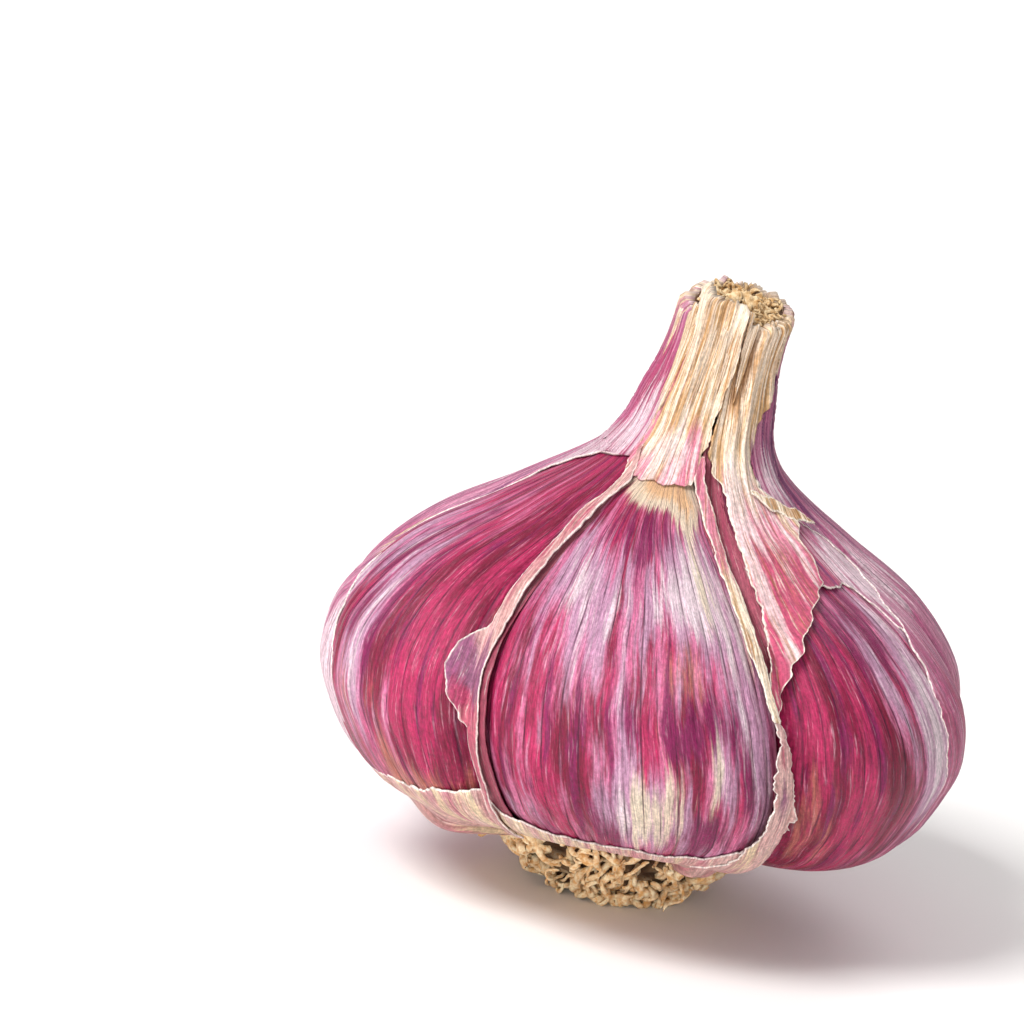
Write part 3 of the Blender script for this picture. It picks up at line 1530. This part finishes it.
@dataclass
class Neck:
    """The cut neck: its spongy middle and the loose fibres that run down it."""

    form: BulbForm
    core: float = 3.9
    cut_height: float = 60.4
    around: int = 120
    fibres: int = 16
    fibres_from: float = 50.5
    pith: int = 230
    pith_steps: int = 12
    seed: int = 61

    def build(self) -> None:
        """Makes the stalk and the loose fibres."""
        self._stalk(RootFinish(name="stalk_pith", light="#E8D0A8", dark="#BE935F").make())
        self._fibres(SHEATH_FINISH.make())

    def _stalk(self, material: bpy.types.Material) -> None:
        """Makes the woody stalk with its porous cut.

        Args:
            material: The pith.
        """
        noise = Grain(self.seed)
        turn = np.linspace(0, 360, self.around, endpoint=False)[None, :]
        shaft = np.array(
            [(8.1, 0.8), (20, 0.8), (34, 0.8), (44, 0.8), (52, 0.86), (57, 0.95), (59.5, 1.0)]
            + [(self.cut_height, 0.99)]
        )
        rings = np.linspace(0.97, 0.02, 44)
        z = np.concatenate([shaft[:, 0], self.cut_height + 0.5 * (1 - rings**4)])[:, None]
        z = z + self.form.cut(turn) * smooth(z, 57, 60)
        radius = self.core * np.concatenate([shaft[:, 1], rings])[:, None] + 0 * turn
        inside = np.concatenate([np.zeros(len(shaft)), np.ones(len(rings))])[:, None]
        x, y = radius * np.sin(np.radians(turn)), radius * np.cos(np.radians(turn))
        coarse = noise.at(x / 1.1 + 20, y / 1.1 + 20)
        pores = 0.5 * coarse + 0.5 * noise.at(x / 0.5 + 40, y / 0.5 + 40)
        pits = inside * np.clip(0.9 * pores, -0.75, 0.5)
        radius = radius * (1 + 0.05 * noise.at(turn / 20, z / 6) * (1 - inside))
        points = self.form.place(turn, radius, z + pits)
        depth = smooth(-pits, 0.05, 0.6) + 0.95 * (1 - smooth(points[..., 2], 55, 60))
        surface = Surface()
        surface.add_dark(points, grid_faces(len(z), self.around, closed=True), depth)
        draw = np.random.default_rng(self.seed)
        for _ in range(self.pith):
            self._pith_strand(surface, draw)
        surface.finish("stalk", material, "stalk", ("stalk",))

    def _pith_strand(self, surface: Surface, draw: Draw) -> None:
        """Adds one short curled fibre of the spongy cut.

        Args:
            surface: What gathers the piece.
            draw: Source of the random draws.
        """
        angle = draw.uniform(0, 2 * np.pi)
        radius = (self.core - 0.2) * draw.uniform(0, 1) ** 0.5
        tilt = float(self.form.cut(np.degrees(angle))) * radius / self.core
        top = self.cut_height + 0.3 + tilt
        start = (radius * np.sin(angle) + self.form.neck_lean, -radius * np.cos(angle), top)

        def keep(point: Array) -> Array:
            """Holds a fibre within the cut.

            Args:
                point: Where the fibre has come to.

            Returns:
                The push back inwards.
            """
            flat = np.array([point[0] - self.form.neck_lean, point[1], 0])
            out = max(0.0, float(np.hypot(flat[0], flat[1])) - self.core)
            return np.array([0, 0, 1.5 * (top + 0.2 - point[2])]) - 0.5 * out * flat

        steps = self.pith_steps
        path = curly_path(draw, start, steps, 0.17, 0.45, keep)
        ends = (0, 2, steps - 3, steps - 1)
        radii = draw.uniform(0.09, 0.2) * np.interp(np.arange(steps), ends, (0.6, 1, 1, 0.4))
        add_tube(surface, path, radii, np.full(steps, draw.uniform(0, 0.3)))

    def _fibres(self, material: bpy.types.Material) -> None:
        """Makes the narrow dried strips that lie on the neck and fray at its top.

        Args:
            material: The neck leaves' straw.
        """
        draw = np.random.default_rng(self.seed)
        surface = Surface()
        for number in range(self.fibres):
            azimuth = -62 + 160 * (number + draw.uniform(-0.4, 0.4)) / self.fibres
            low = self.fibres_from + draw.uniform(-1.0, 4)
            high = self.form.neck_top + draw.uniform(-4.5, 0.2)
            half = draw.uniform(3.0, 6.5) / 2
            drift = draw.uniform(-7, 7)
            foot, knee = azimuth + drift, azimuth + drift * 0.6
            Leaf(
                ((low, foot), (low + 4, knee - half), (high + 1, azimuth - half)),
                ((low, foot + 0.6), (low + 4, knee + half), (high + 1, azimuth + half)),
                rows=70,
                columns=7,
                seed=100 + number,
                high=high,
                rag=0.12,
                torn=0.8,
                curl=(0.12, 0.12),
                lift=0.75 + draw.uniform(0, 0.2),
                neck_wall=0.4,
                wrinkle=0.06,
                ridge=0.1,
                layout=(Patch(Tint.WARM, azimuth, 50, 30, 8, self._blush(azimuth)),),
            ).lay(self.form, surface)
        surface.finish("neck_fibres", material, "sheath", ())

    def _blush(self, azimuth: float) -> float:
        """How pink a fibre is: most at the neck's left."""
        return 0.9 * float(smooth(abs(azimuth + 60), 30, 0))


# Roots


@dataclass(frozen=True)
class RootKind:
    """How many roots of a kind there are, and how long, curled and thick they are."""

    count: int
    steps: int
    step: float
    curl: float
    radii: tuple[float, float]


STOUT_ROOTS = RootKind(46, 26, 0.42, 0.2, (0.4, 0.64))
FINE_ROOTS = RootKind(450, 17, 0.3, 0.42, (0.16, 0.42))


@dataclass
class Roots:
    """The root plate with its tuft of dried, tangled roots."""

    wide: float = 13.6
    narrow: float = 6.8
    high: float = 8.6
    drift: float = -0.3
    rows: int = 80
    around: int = 150
    seed: int = 71

    def build(self) -> None:
        """Makes the pad and the roots as one piece."""
        surface = Surface()
        self._pad(surface)
        draw = np.random.default_rng(self.seed)
        for kind in (STOUT_ROOTS, FINE_ROOTS):
            for _ in range(kind.count):
                self._root(surface, draw, kind)
        surface.finish("root_plate", RootFinish().make(), "roots", ("root_plate",))

    def outline(self, z: Array | float) -> Array:
        """Radius of the tuft at a height."""
        return lerp(self.narrow, self.wide, np.clip(z / 6.5, 0, 1) ** 0.8)

    def _pad(self, surface: Surface) -> None:
        """Adds the dark lumpy mat between the roots, flat where the bulb rests.

        Args:
            surface: What gathers the piece.
        """
        noise = Grain(self.seed)
        share = np.linspace(0, 1, self.rows)[:, None]
        z = self.high * smooth(share, 0.3, 1.0)
        radius = np.where(share < 0.3, share / 0.3, 1.0) * (self.outline(z) - 1.5)
        radius = np.where(share > 0.985, 0.01, radius)
        turn = np.linspace(0, 2 * np.pi, self.around, endpoint=False)[None, :]
        lumps = noise.at(turn * 7.64 + 0 * z, z * 1.3 + radius * 0.3) * smooth(z, 0.05, 1.0)
        spread = radius * (1 + 0.08 * lumps) + 0 * turn
        x, y = spread * np.sin(turn) + self.drift, -spread * np.cos(turn)
        points = np.stack([x, y, z + 0 * turn], -1)
        surface.add_dark(points, grid_faces(*spread.shape, closed=True), 0.95 - 0.2 * lumps)

    def _keep(self, point: Array) -> Array:
        """Holds a root within the tuft and off the ground.

        Args:
            point: Where the root has come to.

        Returns:
            The push back to the tuft's rim.
        """
        flat = np.array([point[0] - self.drift, point[1], 0])
        radius = float(np.hypot(flat[0], flat[1]))
        rim = float(self.outline(point[2]))
        push = -flat / radius * float(np.clip((radius - (rim - 0.5)) * 1.6, 0, 2))
        push = push + flat / radius * float(np.clip((rim - 2.6 - radius) * 1.6, 0, 2))
        return push + np.array([0, 0, 1.2 * max(0, 0.7 - point[2]) - 1.2 * max(0, point[2] - 7.6)])

    def _root(self, surface: Surface, draw: Draw, kind: RootKind) -> None:
        """Adds one root, curled round within the tuft.

        Args:
            surface: What gathers the piece.
            draw: Source of the random draws.
            kind: The root's kind.
        """
        angle, z = draw.uniform(0, 2 * np.pi), draw.uniform(0.4, 7.8)
        radius = float(self.outline(z)) - draw.uniform(0.3, 2.0)
        start = (radius * np.sin(angle) + self.drift, -radius * np.cos(angle), z)
        held = 0.35 if draw.uniform() < 0.14 else 1.0
        path = curly_path(
            draw, start, kind.steps, kind.step, kind.curl, lambda point: held * self._keep(point)
        )
        size = draw.uniform(*kind.radii)
        knobs = draw.uniform(0.62, 1.25, 10)
        radii = size * np.interp(np.linspace(0, 9, kind.steps), range(10), knobs)
        radii[-2:] *= (0.8, 0.45)
        radii[:2] *= (0.5, 0.85)
        path[:, 2] = np.maximum(path[:, 2], size * 0.8)
        share = np.hypot(path[:, 0] - self.drift, path[:, 1]) / self.outline(path[:, 2])
        depth = 0.9 - 1.3 * smooth(share, 0.76, 0.95) + draw.uniform(-0.2, 0.62)
        add_tube(surface, path, radii, np.clip(depth, 0, 1))


# The studio


@dataclass(frozen=True)
class Lamp:
    """A soft square light that faces the bulb, in metres and watts."""

    name: str
    place: tuple[float, float, float]
    size: float
    power: float


@dataclass
class Studio:
    """Plain pale floor, soft lights and the camera at the photograph's angle.

    reach is half the floor's side in metres. distance, width_mm, aim and aside are millimetres.
    """

    elevation: float = 15.0
    roll: float = 10.0
    distance: float = 550.0
    width_mm: float = 102.4
    aim: tuple[float, float, float] = (0.0, 0.0, 25.0)
    aside: tuple[float, float] = (-13.89, 13.52)
    sensor: float = 36.0
    reach: float = 6.0
    surround: float = 0.48
    lamps: tuple[Lamp, ...] = (
        Lamp("key", (-0.66, -0.62, 1.0), 0.5, 18.0),
        Lamp("fill", (-0.2, -0.9, 0.1), 0.4, 4.2),
        Lamp("rim", (0.2, 0.9, 0.8), 0.6, 4.0),
    )

    def build(self) -> None:
        """Makes the floor, the lights and the camera."""
        bpy.context.scene.view_settings.view_transform = "Standard"
        self._floor()
        self._lights()
        self._camera()

    def _floor(self) -> None:
        """Lays a wide matt floor."""
        material = bpy.data.materials.new("studio_floor")
        material.use_nodes = True
        shader = material.node_tree.nodes["Principled BSDF"]
        shader.inputs["Base Color"].default_value = linear("#F5F3F1")
        shader.inputs["Roughness"].default_value = 0.9
        mesh = bpy.data.meshes.new("floor")
        signs = ((-1, -1), (1, -1), (1, 1), (-1, 1))
        corners = [(x * self.reach, y * self.reach, 0) for x, y in signs]
        mesh.from_pydata(corners, [], [(0, 1, 2, 3)])
        mesh.materials.append(material)
        floor = bpy.data.objects.new("floor", mesh)
        bpy.context.scene.collection.objects.link(floor)

    def _lights(self) -> None:
        """Hangs a pale surround, a soft key at the upper left, a fill and a light behind."""
        world = bpy.data.worlds.new("studio")
        world.use_nodes = True
        sky = world.node_tree.nodes["Background"]
        sky.inputs["Color"].default_value = linear("#FFFFFF")
        sky.inputs["Strength"].default_value = self.surround
        bpy.context.scene.world = world
        for lamp in self.lamps:
            light = bpy.data.lights.new(lamp.name, "AREA")
            light.size = lamp.size
            light.energy = lamp.power
            stand = bpy.data.objects.new(lamp.name, light)
            stand.location = lamp.place
            aim = Vector((0, 0, 0.03)) - stand.location
            stand.rotation_euler = aim.to_track_quat("-Z", "Y").to_euler()
            bpy.context.scene.collection.objects.link(stand)

    def _camera(self) -> None:
        """Stands the camera at the photograph's angle, rolled so that the bulb leans as there."""
        tip, roll = math.radians(self.elevation), math.radians(self.roll)
        back = Vector((0, -math.cos(tip), math.sin(tip)))
        level_up = Vector((0, math.sin(tip), math.cos(tip)))
        level_right = Vector((1, 0, 0))
        right = level_right * math.cos(roll) + level_up * math.sin(roll)
        up = level_up * math.cos(roll) - level_right * math.sin(roll)
        target = Vector(self.aim)
        eye = target + back * self.distance
        look = target + right * self.aside[0] + up * self.aside[1]
        forward = (look - eye).normalized()
        side = forward.cross(up).normalized()
        over = side.cross(forward)
        camera = bpy.data.cameras.new("camera")
        camera.sensor_width = self.sensor
        camera.lens = self.sensor * self.distance / self.width_mm
        camera.clip_start, camera.clip_end = 0.05, 50.0
        stand = bpy.data.objects.new("camera", camera)
        turned = Matrix((side, over, -forward)).transposed().to_4x4()
        stand.matrix_world = Matrix.Translation(eye * MM) @ turned
        bpy.context.scene.collection.objects.link(stand)
        bpy.context.scene.camera = stand


# The cloves' patches, at shares of a clove's half width from its middle, and at heights

FRONT_LAYOUT = patches(
    pale=(
        (0.8, 30, 0.24, 12, 1.15), (0.38, 25.4, 0.2, 2.4, -0.6), (0.94, 15, 0.18, 6, 0.9),
        (0.5, 37, 0.25, 4.5, 1.2), (0.52, 22, 0.12, 5, 0.9), (-0.3, 31.5, 0.28, 4.5, 0.8),
        (-0.1, 35.5, 0.7, 3.2, 0.75), (0.1, 28, 0.3, 5, 0.3), (0.06, 16.5, 0.22, 5.6, 1.6),
        (-0.6, 38, 0.2, 3, 0.7), (-0.7, 14, 0.2, 3, 0.7), (0.5, 12, 0.3, 1.6, 0.5),
    ),
    cream=(
        (0.62, 37, 0.12, 4.5, 1.2), (0.86, 32, 0.1, 6, 0.9), (0.1, 16.5, 0.2, 6.0, 1.45),
        (0.3, 20, 0.06, 6, 0.9), (0.5, 22, 0.1, 6, 0.9), (0.94, 14, 0.14, 4, 0.9),
        (0.1, 44.0, 0.78, 1.8, 3.4), (0.66, 42.3, 0.2, 1.8, 1.6),
    ),
    warm=((0.34, 31, 0.15, 3.6, 1.5), (0.66, 33, 0.1, 4.5, 1.2), (-0.3, 28, 0.1, 5, 0.8)),
    violet=(
        (0.1, 40, 0.4, 2.2, 1.1), (-0.25, 25, 0.25, 4, 0.8), (0.36, 25.4, 0.24, 2.6, 1.05),
        (0.4, 14.6, 0.18, 3.4, 1.5), (-0.13, 16, 0.06, 5, 1.2), (0.66, 25, 0.12, 5, 0.9),
        (0.78, 20.5, 0.09, 3.6, 1.1), (-0.2, 15.5, 0.12, 4, 0.9),
    ),
)
LEFT_LAYOUT = patches(
    violet=(
        (-0.2, 33, 0.5, 6, 0.8), (-0.75, 20, 0.2, 10, 0.5), (0.24, 24, 0.05, 8, 1.0),
        (-0.3, 20, 0.05, 8, 0.9),
    ),
    warm=((0.55, 12.5, 0.45, 3.6, 2.0), (0.02, 20, 0.08, 7, 1.1), (0.34, 17, 0.1, 6, 1.3)),
    cream=((0.6, 10.8, 0.4, 2.2, 1.6),),
    pale=(
        (-0.8, 18, 0.3, 12, 1.3), (0.75, 28, 0.34, 12, -1.8), (-0.1, 33, 0.3, 4, 0.9),
        (-0.42, 24, 0.1, 9, 1.7), (0.14, 23, 0.09, 8, 1.7), (0.46, 21, 0.08, 6, 1.5),
    ),
)
RIGHT_LAYOUT = patches(
    violet=((-0.2, 34, 0.4, 4, 1.2), (0.2, 16, 0.3, 4, 0.9), (-0.55, 24, 0.14, 4, 0.8)),
    warm=((-0.86, 16, 0.2, 8, 1.2),),
    pale=(
        (-0.24, 29, 0.12, 7, 1.4), (0.06, 24, 0.12, 7, 1.5), (0.2, 28, 0.2, 12, 0.9),
        (0.6, 24, 0.36, 14, 1.15), (-0.7, 26, 0.34, 14, -2.0),
    ),
)
BACK_LAYOUT = patches(
    pale=((0.2, 25, 0.6, 12, 1.0),),
    violet=((-0.3, 28, 0.5, 10, 0.5),),
)


def main() -> None:
    """Builds the garlic bulb and its studio."""
    logging.basicConfig(level=logging.INFO, format="%(name)s %(message)s")
    form = BulbForm()
    skin = CLOVE_FINISH.make()
    Clove("clove_front", 3, FRONT_LAYOUT).build(form, skin)
    Clove("clove_left", 8, LEFT_LAYOUT).build(form, skin)
    Clove("clove_right", 15, RIGHT_LAYOUT).build(form, skin)
    for number, name in enumerate(("clove_back_left", "clove_back_right", "clove_back")):
        Clove(name, 50 + number, BACK_LAYOUT, rows=90, around=96).build(form, skin)
    Skins(form).build()
    Neck(form).build()
    Roots().build()
    Studio().build()


if __name__ == "__main__":
    main()
